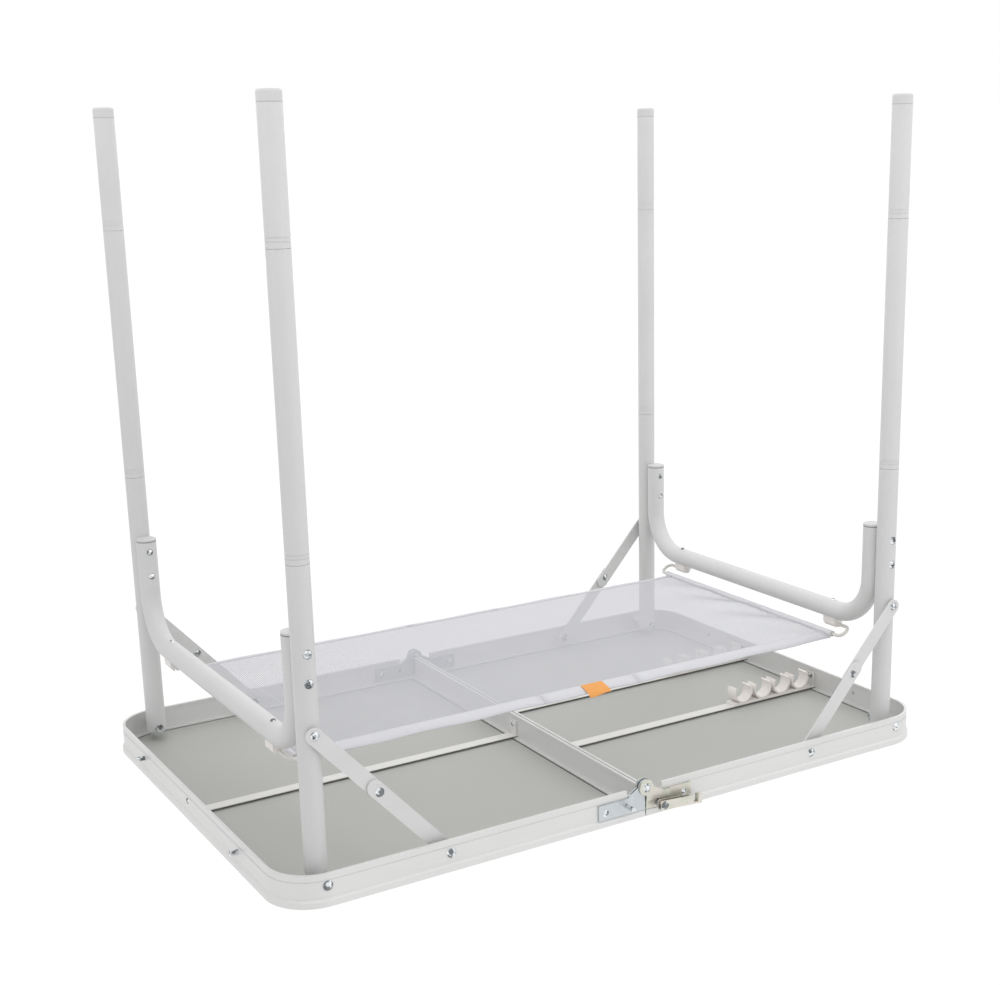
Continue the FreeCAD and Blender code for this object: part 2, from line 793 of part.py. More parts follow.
def ring_grooves(x, y, joint_z):
    cutters = []
    for offset in ring_offsets:
        low = vec(x, y, joint_z - offset)
        high = vec(x, y, joint_z - offset + ring_width)
        cutters.append(rod(low, high, tube_diameter).cut(rod(low, high, tube_radius - ring_depth)))
    return cutters


def necked_tube(side, end, joint_z, low):
    # tube whose top is swaged to a neck that plugs into the tube above
    x = SIDES[side] * pivot_x
    y = end * leg_y
    shoulder = joint_z - joint_gap
    body = rod(vec(x, y, low), vec(x, y, shoulder), tube_radius)
    neck = rod(vec(x, y, shoulder), vec(x, y, shoulder + neck_length), neck_radius)
    bore = [rod(vec(x, y, low - overrun), vec(x, y, shoulder - tube_wall), bore_radius),
            rod(vec(x, y, low), vec(x, y, shoulder + neck_length + overrun), neck_radius - tube_wall)]
    return joined([body, neck]).cut(bore + ring_grooves(x, y, shoulder))


def leg_tube(side, end):
    return necked_tube(side, end, first_joint_z, second_joint_z)


def foot_tube(side, end):
    return necked_tube(side, end, second_joint_z, cap_height)


def foot_cap(side, end):
    x = SIDES[side] * pivot_x
    y = end * leg_y
    shoe = rod(vec(x, y, 0), vec(x, y, cap_height), tube_radius)
    shoe = shoe.makeFillet(cap_round, [edge for edge in shoe.Edges if edge.BoundBox.ZMax < cap_round])
    return joined([shoe, rod(vec(x, y, cap_height), vec(x, y, cap_height + cap_depth), bore_radius)])


# Folding stays


def stay_centre():
    # place of the centre rivet with the stay straight, on the right
    reach = vec(stay_x - pivot_x, 0, stay_z - stay_leg_z).normalize()
    return vec(pivot_x, 0, stay_leg_z) + reach * stay_upper_length


def flat_link(start, end_point, layer):
    # flat bar with round ends between two points on the right; the far end runs past its pivot
    along = (end_point - start).normalize()
    across = vec(-along.z, 0, along.x) * (stay_width / 2)
    tip = end_point + along * (stay_end - stay_width / 2)
    y = vec(0, layer, 0)
    a, b, c, d = (p + y for p in (start + across, tip + across, tip - across, start - across))
    edges = [
        Part.LineSegment(a, b).toShape(),
        Part.Arc(b, tip + along * (stay_width / 2) + y, c).toShape(),
        Part.LineSegment(c, d).toShape(),
        Part.Arc(d, start - along * (stay_width / 2) + y, a).toShape(),
    ]
    return Part.Face(Part.Wire(edges)).extrude(AXIS_Y * stay_thickness)


def placed_stay(shapes, side, end):
    # stays are drawn at the right back and mirrored to their corner
    if SIDES[side] < 0:
        shapes = [mirrored(s, AXIS_X) for s in shapes]
    if end < 0:
        shapes = [mirrored(s, AXIS_Y) for s in shapes]
    return shapes


def stay_upper(side, end):
    centre = stay_centre()
    start = vec(pivot_x, 0, stay_leg_z)
    link = flat_link(start, centre, upper_layer)
    low, high = upper_layer, upper_layer + stay_thickness
    screw_hole = rod(start + vec(0, low - overrun, 0), start + vec(0, high + overrun, 0),
                     screw_radius + running)
    rivet_shank = rod(centre + vec(0, low, 0), centre + vec(0, high, 0), screw_radius)
    upset = dome(centre + vec(0, low, 0), AXIS_Y * -1, rivet_head_radius, rivet_head_height)
    tail = joined([rivet_shank, upset])
    return placed_stay([link.cut([screw_hole, rivet_shank]), tail], side, end)


def stay_lower(side, end):
    centre = stay_centre()
    start = vec(stay_x, 0, stay_z)
    link = flat_link(start, centre, lower_layer)
    low, high = lower_layer, lower_layer + stay_thickness
    bolt_hole = rod(start + vec(0, low - overrun, 0), start + vec(0, high + overrun, 0),
                    bolt_radius + running)
    rivet_shank = rod(centre + vec(0, low, 0), centre + vec(0, high, 0), screw_radius)
    cap = dome(centre + vec(0, high, 0), AXIS_Y, screw_head_radius, screw_head_height)
    head = joined([rivet_shank, cap])
    along = (centre - start).normalize()
    across = vec(-along.z, 0, along.x)
    stop = centre + along * (stay_width / 2) - across * (stay_width / 4) + vec(0, high, 0)
    link = joined([link.cut([bolt_hole, rivet_shank]), dome(stop, AXIS_Y, dimple_radius, dimple_height)])
    return placed_stay([link, head], side, end)


# Shelf


def shelf_hooks(side):
    x = SIDES[side] * pivot_x
    shapes = []
    for end in ENDS.values():
        across = (end * hook_y - hook_length / 2, end * hook_y + hook_length / 2)
        saddle = box((x - hook_width / 2, x + hook_width / 2), across, (bar_z + tube_radius / 2, hook_z))
        barrel = rod(vec(x, across[0], hook_z), vec(x, across[1], hook_z), hook_barrel / 2)
        bar = rod(vec(x, across[0] - overrun, bar_z), vec(x, across[1] + overrun, bar_z), tube_radius)
        wire = rod(vec(x, across[0] - overrun, hook_z), vec(x, across[1] + overrun, hook_z),
                   wire_radius + running)
        slot = box((x - hook_slot / 2, x + hook_slot / 2), (across[0] - overrun, across[1] + overrun),
                   (hook_z, hook_z + overrun))
        shapes.append(joined([saddle, barrel]).cut([bar, wire, slot, hook_screw(side, end)]))
    return shapes


def shelf_wire(side):
    x = SIDES[side] * pivot_x
    hem = SIDES[side] * hem_x
    route = [vec(x, -wire_tail_y, hook_z), vec(x, -wire_end_y, hook_z), vec(hem, -wire_end_y, net_z),
             vec(hem, wire_end_y, net_z), vec(x, wire_end_y, hook_z), vec(x, wire_tail_y, hook_z)]
    return bent_tube(route, wire_bend, wire_radius)


def rectangle(x_range, y_range, z):
    corners = [vec(x_range[0], y_range[0], z), vec(x_range[1], y_range[0], z),
               vec(x_range[1], y_range[1], z), vec(x_range[0], y_range[1], z)]
    return outline(corners, [0] * len(corners))


def shelf_net():
    half_length = hem_x - sleeve_inner
    low = net_z - net_thickness / 2
    wires = [rectangle((-half_length, half_length), (-net_half_width, net_half_width), low)]
    open_y = net_half_width - hem_width
    pitch_x = 2 * half_length / net_columns
    pitch_y = 2 * open_y / net_rows
    for i in range(net_columns):
        for j in range(net_rows):
            x = -half_length + i * pitch_x + net_rib / 2
            y = -open_y + j * pitch_y + net_rib / 2
            wires.append(rectangle((x, x + pitch_x - net_rib), (y, y + pitch_y - net_rib), low))
    sheet = Part.makeFace(wires, "Part::FaceMakerBullseye").extrude(AXIS_Z * net_thickness)
    pieces = [sheet]
    for sign in SIDES.values():
        pieces.append(box((-half_length, half_length), (sign * open_y, sign * net_half_width),
                          (net_z - hem_thickness / 2, net_z + hem_thickness / 2)))
        sleeve = box((sign * half_length, sign * (hem_x + sleeve_outer)), (-net_half_width, net_half_width),
                     (net_z - sleeve_thickness / 2, net_z + sleeve_thickness / 2))
        tunnel = rod(vec(sign * hem_x, -net_half_width - overrun, net_z),
                     vec(sign * hem_x, net_half_width + overrun, net_z), wire_radius + sleeve_play)
        pieces.append(sleeve.cut(tunnel))
    return joined(pieces)


def build():
    nodes = {}
    for side in SIDES:
        rim_shape = rim(side)
        nodes[f"rim_{side}"] = rim_shape
        nodes[f"centre_rail_{side}"] = centre_rail(side, rim_shape)
        nodes[f"board_{side}"] = board(side)
        nodes["slat_right" if side == "right" else "slats_left"] = slats(side)
        nodes[f"hinge_plates_{side}"] = hinge_plates(side)
        nodes[f"rivets_{side}"] = rivets(side)
        nodes[f"rail_bolts_{side}"] = rail_bolts(side)
        nodes[f"leg_spacers_{side}"] = leg_spacers(side, rim_shape)
        nodes[f"tube_plugs_{side}"] = tube_plugs(side)
        nodes[f"cross_bar_{side}"] = cross_bar(side)
        nodes[f"frame_screws_{side}"] = frame_screws(side)
        nodes[f"shelf_hooks_{side}"] = shelf_hooks(side)
        nodes[f"shelf_wire_{side}"] = shelf_wire(side)
        for name, end in ENDS.items():
            nodes[f"upper_leg_{side}_{name}"] = upper_leg(side, end)
            nodes[f"leg_tube_{side}_{name}"] = leg_tube(side, end)
            nodes[f"foot_tube_{side}_{name}"] = foot_tube(side, end)
            nodes[f"foot_cap_{side}_{name}"] = foot_cap(side, end)
            nodes[f"stay_upper_{side}_{name}"] = stay_upper(side, end)
            nodes[f"stay_lower_{side}_{name}"] = stay_lower(side, end)
    nodes["hinge_pins"] = hinge_pins()
    nodes["catch_studs"] = catch_studs()
    for name, end in ENDS.items():
        nodes[f"clip_strip_{name}"] = clip_strip(end)
        nodes[f"hook_latch_{name}"] = hook_latch(end)
        nodes[f"end_hook_{name}"] = end_hook(end)
    nodes["shelf_net"] = shelf_net()
    return nodes


def write(nodes):
    os.makedirs("parts", exist_ok=True)
    for name, shape in nodes.items():
        solids = shape if isinstance(shape, list) else [shape]
        solids = [solid for item in solids for solid in item.Solids]
        whole = solids[0] if len(solids) == 1 else Part.makeCompound(solids)
        whole.exportStep(f"parts/{name}.step")
        print(f"{name}: {len(solids)} solids, {whole.Volume / 1000:.2f} cm3, valid {whole.isValid()}")


write(build())
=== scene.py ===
import bpy
import json
import math
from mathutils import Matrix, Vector


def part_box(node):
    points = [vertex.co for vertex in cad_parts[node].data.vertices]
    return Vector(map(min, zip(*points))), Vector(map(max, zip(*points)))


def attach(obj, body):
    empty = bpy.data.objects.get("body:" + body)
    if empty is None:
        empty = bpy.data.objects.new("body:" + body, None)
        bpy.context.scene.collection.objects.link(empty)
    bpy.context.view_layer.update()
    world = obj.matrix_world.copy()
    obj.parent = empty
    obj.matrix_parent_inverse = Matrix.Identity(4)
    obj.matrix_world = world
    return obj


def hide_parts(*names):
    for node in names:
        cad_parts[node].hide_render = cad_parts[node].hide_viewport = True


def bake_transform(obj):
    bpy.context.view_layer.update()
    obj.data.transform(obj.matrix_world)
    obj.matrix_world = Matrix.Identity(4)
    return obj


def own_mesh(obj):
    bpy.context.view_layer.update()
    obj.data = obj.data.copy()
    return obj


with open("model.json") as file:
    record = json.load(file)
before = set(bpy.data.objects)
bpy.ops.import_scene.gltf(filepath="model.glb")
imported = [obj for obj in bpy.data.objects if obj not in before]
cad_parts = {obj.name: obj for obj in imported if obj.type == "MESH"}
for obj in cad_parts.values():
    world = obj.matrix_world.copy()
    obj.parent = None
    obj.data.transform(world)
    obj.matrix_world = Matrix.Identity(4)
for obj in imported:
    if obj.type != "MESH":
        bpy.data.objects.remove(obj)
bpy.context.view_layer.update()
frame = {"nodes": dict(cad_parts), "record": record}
print("frame loaded:", len(frame["nodes"]), "nodes")

scene = bpy.context.scene
scene.view_settings.view_transform = "Standard"

cameraSetup = {
    "place": (0.8545, -1.4753, 0.0557),      # low over the floor, looking up under the table
    "turn": (-104.430, -0.927, -147.744),    # degrees; the picture was taken with the table upside down
    "lens": 55.443,
    "sensor": 36,
    "shift": (-0.062, 0.0575),
    "clipStart": 0.01,
}

camera = bpy.data.objects.new("camera", bpy.data.cameras.new("camera"))
scene.collection.objects.link(camera)
camera.location = cameraSetup["place"]
camera.rotation_euler = [math.radians(angle) for angle in cameraSetup["turn"]]
camera.data.lens = cameraSetup["lens"]
camera.data.sensor_width = cameraSetup["sensor"]
camera.data.shift_x, camera.data.shift_y = cameraSetup["shift"]
camera.data.clip_start = cameraSetup["clipStart"]
scene.camera = camera

colourA, colourB = 6, 7    # the Mix node's two colour sockets
numberA, numberB = 2, 3    # and its two number sockets


def linear(hexColour):
    # sRGB hex to the linear values that nodes take
    parts = [int(hexColour[i:i + 2], 16) / 255 for i in (1, 3, 5)]
    return [p / 12.92 if p <= 0.04045 else ((p + 0.055) / 1.055) ** 2.4 for p in parts] + [1.0]


def fill(tree, node, sockets):
    # outputs are linked, and a node stands for its first live output; anything else is the socket's value
    for name, value in sockets.items():
        if isinstance(value, bpy.types.Node):
            value = next(output for output in value.outputs if output.enabled)
        if isinstance(value, bpy.types.NodeSocket):
            tree.links.new(value, node.inputs[name])
        else:
            node.inputs[name].default_value = value


def put(tree, kind, sockets=None, **settings):
    # adds a node with its settings and links
    made = tree.nodes.new(kind)
    for name, value in settings.items():
        setattr(made, name, value)
    fill(tree, made, sockets or {})
    return made


def newFinish(name):
    finish = bpy.data.materials.new(name)
    finish.use_nodes = True
    tree = finish.node_tree
    return finish, tree, tree.nodes["Principled BSDF"], put(tree, "ShaderNodeTexCoord")


def tones(setup, first="light", second="dark"):
    return {colourA: linear(setup[first]), colourB: linear(setup[second])}


def span(limits):
    return {"To Min": limits[0], "To Max": limits[1]}


def perMm(size):
    return 1000 / size    # texture scale for a feature of this many millimetres


def bandsPerMm(size):
    return 314 / size     # the same for the wave texture, which runs 20 radians for each unit


anodised = {
    "light": "#E0E0DF", "dark": "#D4D4D3",
    "roughness": (0.34, 0.46),
    "metallic": 0.2,      # the anodic film scatters most of the light
    "drawLines": 1.6,     # mm
    "squeeze": 0.02,      # lines run on for 50 times their spacing
    "cloud": 90,          # mm
    "relief": 0.08, "depth": 0.0002,
}


def anodisedRail():
    # extruded aluminium, etched and anodised: pale, satin, with faint die lines along the rail
    finish, tree, shader, coord = newFinish("satinAnodisedAluminium")
    place = coord.outputs["Object"]
    squeezed = put(tree, "ShaderNodeMapping", {
        "Vector": place, "Scale": (anodised["squeeze"], anodised["squeeze"], 1)})
    lines = put(tree, "ShaderNodeTexNoise", {
        "Vector": squeezed, "Scale": perMm(anodised["drawLines"]), "Detail": 3})
    cloud = put(tree, "ShaderNodeTexNoise", {"Vector": place, "Scale": perMm(anodised["cloud"]), "Detail": 2})
    blend = put(tree, "ShaderNodeMath", {0: lines, 1: cloud}, operation="MULTIPLY")
    tone = put(tree, "ShaderNodeMix", {"Factor": blend, **tones(anodised)}, data_type="RGBA")
    rough = put(tree, "ShaderNodeMapRange", {"Value": lines, **span(anodised["roughness"])})
    relief = put(tree, "ShaderNodeBump", {
        "Height": lines, "Strength": anodised["relief"], "Distance": anodised["depth"]})
    fill(tree, shader, {"Base Color": tone, "Roughness": rough, "Normal": relief,
                        "Metallic": anodised["metallic"]})
    return finish


boardFinish = {
    "under": "#B4B5B1", "underSpeck": "#AAABA7",
    "face": "#E4E3DE", "faceSpeck": "#D9D8D2",
    "speck": 2.5, "cloud": 160,                       # mm
    "roughness": (0.5, 0.62),
    "linen": 2, "waver": 1.5,                         # mm between threads, and how far they stray
    "relief": 0.12, "depth": 0.0002,
    # the dark line colour and its width below are painted shade in the gap where the board meets the rim and the
    # centre rails
    "gapShade": "#545551", "gapShadeWidth": 0.002,
    "opening": (0.3914, 0.2554), "corner": 0.0394,    # half sizes and corner radius inside the rim's ledge
    "anyHeight": 10,                                  # higher than any point, so that height doesn't count
    "railFoot": 0.0073,                               # half width over both feet of the centre rails
}


def melamineBoard():
    # fibreboard with melamine film: plain grey paper film below, pale linen-embossed film on the table face
    finish, tree, shader, coord = newFinish("melamineFibreboard")
    place = coord.outputs["Object"]
    speck = put(tree, "ShaderNodeTexNoise", {
        "Vector": place, "Scale": perMm(boardFinish["speck"]), "Detail": 4, "Roughness": 0.7})
    cloud = put(tree, "ShaderNodeTexNoise", {
        "Vector": place, "Scale": perMm(boardFinish["cloud"]), "Detail": 2})
    both = put(tree, "ShaderNodeMath", {0: speck, 1: cloud}, operation="MULTIPLY")
    under, face = [put(tree, "ShaderNodeMix", {
        "Factor": both, **tones(boardFinish, side, side + "Speck")}, data_type="RGBA")
        for side in ("under", "face")]
    facing = put(tree, "ShaderNodeSeparateXYZ", {"Vector": coord.outputs["Normal"]})
    isFace = put(tree, "ShaderNodeMath", {0: facing.outputs["Z"], 1: 0.5}, operation="GREATER_THAN")
    # painted shade: a dark line in the gap where the board slips into the rim, a rounded rectangle just inside
    # the rim's ledge
    corner, gapShadeWidth = boardFinish["corner"], boardFinish["gapShadeWidth"]
    straight = [half - corner for half in boardFinish["opening"]] + [boardFinish["anyHeight"]]
    folded = put(tree, "ShaderNodeVectorMath", {0: place}, operation="ABSOLUTE")
    past = put(tree, "ShaderNodeVectorMath", {0: folded, 1: straight}, operation="SUBTRACT")
    past = put(tree, "ShaderNodeVectorMath", {0: past, 1: (0, 0, 0)}, operation="MAXIMUM")
    away = put(tree, "ShaderNodeVectorMath", {0: past}, operation="LENGTH")
    atRim = put(tree, "ShaderNodeMath", {0: away, 1: corner - gapShadeWidth}, operation="GREATER_THAN")
    # and the same painted shade along the feet of the centre rails
    beside = put(tree, "ShaderNodeSeparateXYZ", {"Vector": folded})
    atRail = put(tree, "ShaderNodeMath", {
        0: beside.outputs["X"], 1: boardFinish["railFoot"] + gapShadeWidth}, operation="LESS_THAN")
    isGapShade = put(tree, "ShaderNodeMath", {0: atRim, 1: atRail}, operation="MAXIMUM")
    below = put(tree, "ShaderNodeMix", {
        "Factor": isGapShade, colourA: under, colourB: linear(boardFinish["gapShade"])}, data_type="RGBA")
    tone = put(tree, "ShaderNodeMix", {"Factor": isFace, colourA: below, colourB: face}, data_type="RGBA")
    threads = [put(tree, "ShaderNodeTexWave", {
        "Vector": place, "Scale": bandsPerMm(boardFinish["linen"]), "Distortion": boardFinish["waver"],
        "Detail": 2}, bands_direction=way).outputs["Fac"] for way in "XY"]
    linen = put(tree, "ShaderNodeMath", {0: threads[0], 1: threads[1]}, operation="ADD")
    embossed = put(tree, "ShaderNodeMath", {0: linen, 1: isFace}, operation="MULTIPLY")
    relief = put(tree, "ShaderNodeBump", {
        "Height": embossed, "Strength": boardFinish["relief"], "Distance": boardFinish["depth"]})
    rough = put(tree, "ShaderNodeMapRange", {"Value": speck, **span(boardFinish["roughness"])})
    fill(tree, shader, {"Base Color": tone, "Roughness": rough, "Normal": relief})
    return finish


slatCoat = {
    # the edge colour is painted shade on the strip's side faces next to the board
    "light": "#E2E1DE", "dark": "#D8D7D4", "edge": "#5E5F5B",
    "roughness": (0.4, 0.5),
    "cloud": 60,         # mm
    "thick": 0.0012,
    "sideways": 0.7,     # a face turned this far to the side is a slit edge
}


def coatedStrip():
    # coil-coated flat strip: pale face, and the slit edges next to the board painted dark as shade
    finish, tree, shader, coord = newFinish("coatedSteelStrip")
    place = coord.outputs["Object"]
    cloud = put(tree, "ShaderNodeTexNoise", {"Vector": place, "Scale": perMm(slatCoat["cloud"]), "Detail": 3})
    face = put(tree, "ShaderNodeMix", {"Factor": cloud, **tones(slatCoat)}, data_type="RGBA")
    facing = put(tree, "ShaderNodeSeparateXYZ", {"Vector": coord.outputs["Normal"]})
    turned = put(tree, "ShaderNodeMath", {0: facing.outputs["Y"]}, operation="ABSOLUTE")
    isSide = put(tree, "ShaderNodeMath", {0: turned, 1: slatCoat["sideways"]}, operation="GREATER_THAN")
    axes = put(tree, "ShaderNodeSeparateXYZ", {"Vector": place})
    isStrip = put(tree, "ShaderNodeMath", {
        0: axes.outputs["Z"], 1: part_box("slat_right")[1].z - slatCoat["thick"]}, operation="GREATER_THAN")
    # painted shade on the side faces that lie next to the board
    isShadedEdge = put(tree, "ShaderNodeMath", {0: isSide, 1: isStrip}, operation="MULTIPLY")
    tone = put(tree, "ShaderNodeMix", {
        "Factor": isShadedEdge, colourA: face, colourB: linear(slatCoat["edge"])}, data_type="RGBA")
    rough = put(tree, "ShaderNodeMapRange", {"Value": cloud, **span(slatCoat["roughness"])})
    fill(tree, shader, {"Base Color": tone, "Roughness": rough})
    return finish


fastener = {
    # the light tone is a painted highlight and the dark tone a painted dark reflection
    "light": "#D9DDDF", "dark": "#707376",
    "roughness": (0.16, 0.34),
    "metallic": 0.85,
    "patch": 4.5, "edge": (0.46, 0.6),    # mm across, and where the noise turns from painted highlight to painted dark reflection
}


def nickelWithPaintedGlints(tree, place):
    # turned steel heads, barrel-plated, with painted light: each one gets a painted highlight patch and a
    # painted dark reflection patch
    patch = put(tree, "ShaderNodeTexNoise", {"Vector": place, "Scale": perMm(fastener["patch"]), "Detail": 1})
    sharp = put(tree, "ShaderNodeMapRange", {
        "Value": patch, "From Min": fastener["edge"][0], "From Max": fastener["edge"][1]},
        interpolation_type="SMOOTHSTEP")
    tone = put(tree, "ShaderNodeMix", {"Factor": sharp, **tones(fastener)}, data_type="RGBA")
    rough = put(tree, "ShaderNodeMapRange", {"Value": patch, **span(fastener["roughness"])})
    return tone, rough


def platedHeads():
    finish, tree, shader, coord = newFinish("nickelPlatedFasteners")
    tone, rough = nickelWithPaintedGlints(tree, coord.outputs["Object"])
    fill(tree, shader, {"Base Color": tone, "Roughness": rough, "Metallic": fastener["metallic"]})
    return finish


coating = {"peel": 2.2, "relief": 0.06, "depth": 0.0003, "ior": 1.5}    # peel in mm
coats = {
    "leg": {"name": "whitePowderCoat", "light": "#D7D7D7", "dark": "#CECECE", "roughness": (0.37, 0.47),
            "cloud": 70},
    "stay": {"name": "powderCoatedStay", "light": "#DCDCDC", "dark": "#D2D2D2", "roughness": (0.36, 0.46),
             "cloud": 40, "knee": (0.29437, 0, 0.62886), "head": 0.0046},    # centre rivet: place and radius
}


def powderCoat(setup):
    # baked polyester powder on aluminium: soft white gloss with a slight orange peel
    finish, tree, shader, coord = newFinish(setup["name"])
    place = coord.outputs["Object"]
    peel = put(tree, "ShaderNodeTexNoise", {"Vector": place, "Scale": perMm(coating["peel"]), "Detail": 2})
    cloud = put(tree, "ShaderNodeTexNoise", {"Vector": place, "Scale": perMm(setup["cloud"]), "Detail": 3})
    tone = put(tree, "ShaderNodeMix", {"Factor": cloud, **tones(setup)}, data_type="RGBA")
    rough = put(tree, "ShaderNodeMapRange", {"Value": cloud, **span(setup["roughness"])})
    if "knee" in setup:    # a stay's plated centre rivet shows through the coat
        axes = put(tree, "ShaderNodeSeparateXYZ", {"Vector": place})
        out = put(tree, "ShaderNodeMath", {0: axes.outputs["X"]}, operation="ABSOLUTE")
        flat = put(tree, "ShaderNodeCombineXYZ", {"X": out, "Z": axes.outputs["Z"]})
        away = put(tree, "ShaderNodeVectorMath", {0: flat, 1: setup["knee"]}, operation="DISTANCE")
        isHead = put(tree, "ShaderNodeMath", {0: away, 1: setup["head"]}, operation="LESS_THAN")
        # the rivet head takes the fasteners' painted highlight and painted dark reflection
        nickel, nickelRough = nickelWithPaintedGlints(tree, place)
        tone = put(tree, "ShaderNodeMix", {"Factor": isHead, colourA: tone, colourB: nickel}, data_type="RGBA")
        rough = put(tree, "ShaderNodeMix", {"Factor": isHead, numberA: rough, numberB: nickelRough})
        metal = put(tree, "ShaderNodeMath", {0: isHead, 1: fastener["metallic"]}, operation="MULTIPLY")
        fill(tree, shader, {"Metallic": metal})
    relief = put(tree, "ShaderNodeBump", {
        "Height": peel, "Strength": coating["relief"], "Distance": coating["depth"]})
    fill(tree, shader, {"Base Color": tone, "Roughness": rough, "Normal": relief, "IOR": coating["ior"]})
    return finish


plating = {"cloud": 14, "grain": 3, "metallic": 0.8, "blush": 13, "blushEdge": (0.4, 0.6)}    # sizes in mm
zincs = {
    "zinc_yellow": {"name": "warmZinc", "light": "#EAE8E0", "dark": "#C7C8BC", "roughness": (0.28, 0.44),
                    "blush": "#D5CFC7", "rearLight": "#C9D0D2", "rearDark": "#B3BCC0"},
    "zinc_blue": {"name": "coolZinc", "light": "#D5D8D9", "dark": "#BEC4C7", "roughness": (0.24, 0.4)},
}


def zincPlate(setup):
    # electroplated zinc on pressed steel: satin metal with cloudy passivation
    finish, tree, shader, coord = newFinish(setup["name"])
    place = coord.outputs["Object"]
    cloud = put(tree, "ShaderNodeTexNoise", {
        "Vector": place, "Scale": perMm(plating["cloud"]), "Detail": 4, "Roughness": 0.6})
    grain = put(tree, "ShaderNodeTexVoronoi", {"Vector": place, "Scale": perMm(plating["grain"])})
    mixed = put(tree, "ShaderNodeMath", {0: cloud, 1: grain}, operation="ADD")
    tone = put(tree, "ShaderNodeMix", {"Factor": mixed, **tones(setup)}, data_type="RGBA")
    if "blush" in setup:    # yellow passivation turns pinkish in large soft patches
        patch = put(tree, "ShaderNodeTexNoise", {"Vector": place, "Scale": perMm(plating["blush"]), "Detail": 1})
        share = put(tree, "ShaderNodeMapRange", {
            "Value": patch, "From Min": plating["blushEdge"][0], "From Max": plating["blushEdge"][1]},
            interpolation_type="SMOOTHSTEP")
        tone = put(tree, "ShaderNodeMix", {
            "Factor": share, colourA: tone, colourB: linear(setup["blush"])}, data_type="RGBA")
    if "rearLight" in setup:    # the fittings on the back rail are clear passivated
        rearTone = put(tree, "ShaderNodeMix", {
            "Factor": mixed, **tones(setup, "rearLight", "rearDark")}, data_type="RGBA")
        axes = put(tree, "ShaderNodeSeparateXYZ", {"Vector": place})
        isRear = put(tree, "ShaderNodeMath", {0: axes.outputs["Y"], 1: 0.0}, operation="GREATER_THAN")
        tone = put(tree, "ShaderNodeMix", {"Factor": isRear, colourA: tone, colourB: rearTone}, data_type="RGBA")
    rough = put(tree, "ShaderNodeMapRange", {"Value": cloud, **span(setup["roughness"])})
    fill(tree, shader, {"Base Color": tone, "Roughness": rough, "Metallic": plating["metallic"]})
    return finish


moulding = {"grain": 1.2, "cloud": 30, "relief": 0.15, "depth": 0.0002, "ior": 1.49}    # sizes in mm
plastics = {
    "clip": {"name": "ivoryClipPlastic", "light": "#F0ECE9", "dark": "#E8E2DE", "roughness": (0.37, 0.49)},
    "bush": {"name": "whiteBushPlastic", "light": "#E2E2E0", "dark": "#D8D8D6", "roughness": (0.4, 0.52)},
    "plug": {"name": "greyPlugPlastic", "light": "#D3D3D4", "dark": "#C9C9CB", "roughness": (0.4, 0.52),
             "seam": "#6E6E6E", "seamAt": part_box("tube_plugs_left")[0].z + 0.003, "seamHalf": 0.001},
    "foot": {"name": "greyFootPlastic", "light": "#D3D3D3", "dark": "#CBCBCB", "roughness": (0.45, 0.57),
             "seam": "#BABABA", "seamAt": 0.011, "seamHalf": 0.0011},
    "shelf_hook": {"name": "ivoryHookPlastic", "light": "#EFEBE9", "dark": "#E7E2DF", "roughness": (0.37, 0.49)},
    "wire": {"name": "coatedWire", "light": "#E2E0DC", "dark": "#D6D3CE", "roughness": (0.35, 0.47)},
}


def mouldedPlastic(setup):
    # injection-moulded polypropylene: even colour, faint spark-eroded grain
    finish, tree, shader, coord = newFinish(setup["name"])
    place = coord.outputs["Object"]
    grain = put(tree, "ShaderNodeTexNoise", {"Vector": place, "Scale": perMm(moulding["grain"]), "Detail": 3})
    cloud = put(tree, "ShaderNodeTexNoise", {"Vector": place, "Scale": perMm(moulding["cloud"]), "Detail": 2})
    tone = put(tree, "ShaderNodeMix", {"Factor": cloud, **tones(setup)}, data_type="RGBA")
    if "seam" in setup:    # dark line where a cap meets its tube
        level = put(tree, "ShaderNodeSeparateXYZ", {"Vector": place}).outputs["Z"]
        isOver = put(tree, "ShaderNodeMath", {
            0: level, 1: setup["seamAt"] - setup["seamHalf"]}, operation="GREATER_THAN")
        isUnder = put(tree, "ShaderNodeMath", {
            0: level, 1: setup["seamAt"] + setup["seamHalf"]}, operation="LESS_THAN")
        isSeam = put(tree, "ShaderNodeMath", {0: isOver, 1: isUnder}, operation="MULTIPLY")
        tone = put(tree, "ShaderNodeMix", {
            "Factor": isSeam, colourA: tone, colourB: linear(setup["seam"])}, data_type="RGBA")
    rough = put(tree, "ShaderNodeMapRange", {"Value": grain, **span(setup["roughness"])})
    relief = put(tree, "ShaderNodeBump", {
        "Height": grain, "Strength": moulding["relief"], "Distance": moulding["depth"]})
    fill(tree, shader, {"Base Color": tone, "Roughness": rough, "Normal": relief, "IOR": moulding["ior"]})
    return finish


# by the record's material slots
finishes = {"rail": anodisedRail(), "board": melamineBoard(), "slat": coatedStrip(), "steel": platedHeads()}
finishes.update({slot: powderCoat(setup) for slot, setup in coats.items()})
finishes.update({slot: zincPlate(setup) for slot, setup in zincs.items()})
finishes.update({slot: mouldedPlastic(setup) for slot, setup in plastics.items()})
for part in frame["record"]["subparts"]:
    if part["material_slot"] in finishes:
        surface = frame["nodes"][part["node"]].data.materials
        surface.clear()
        surface.append(finishes[part["material_slot"]])
print("finishes on the metal and plastic pieces")

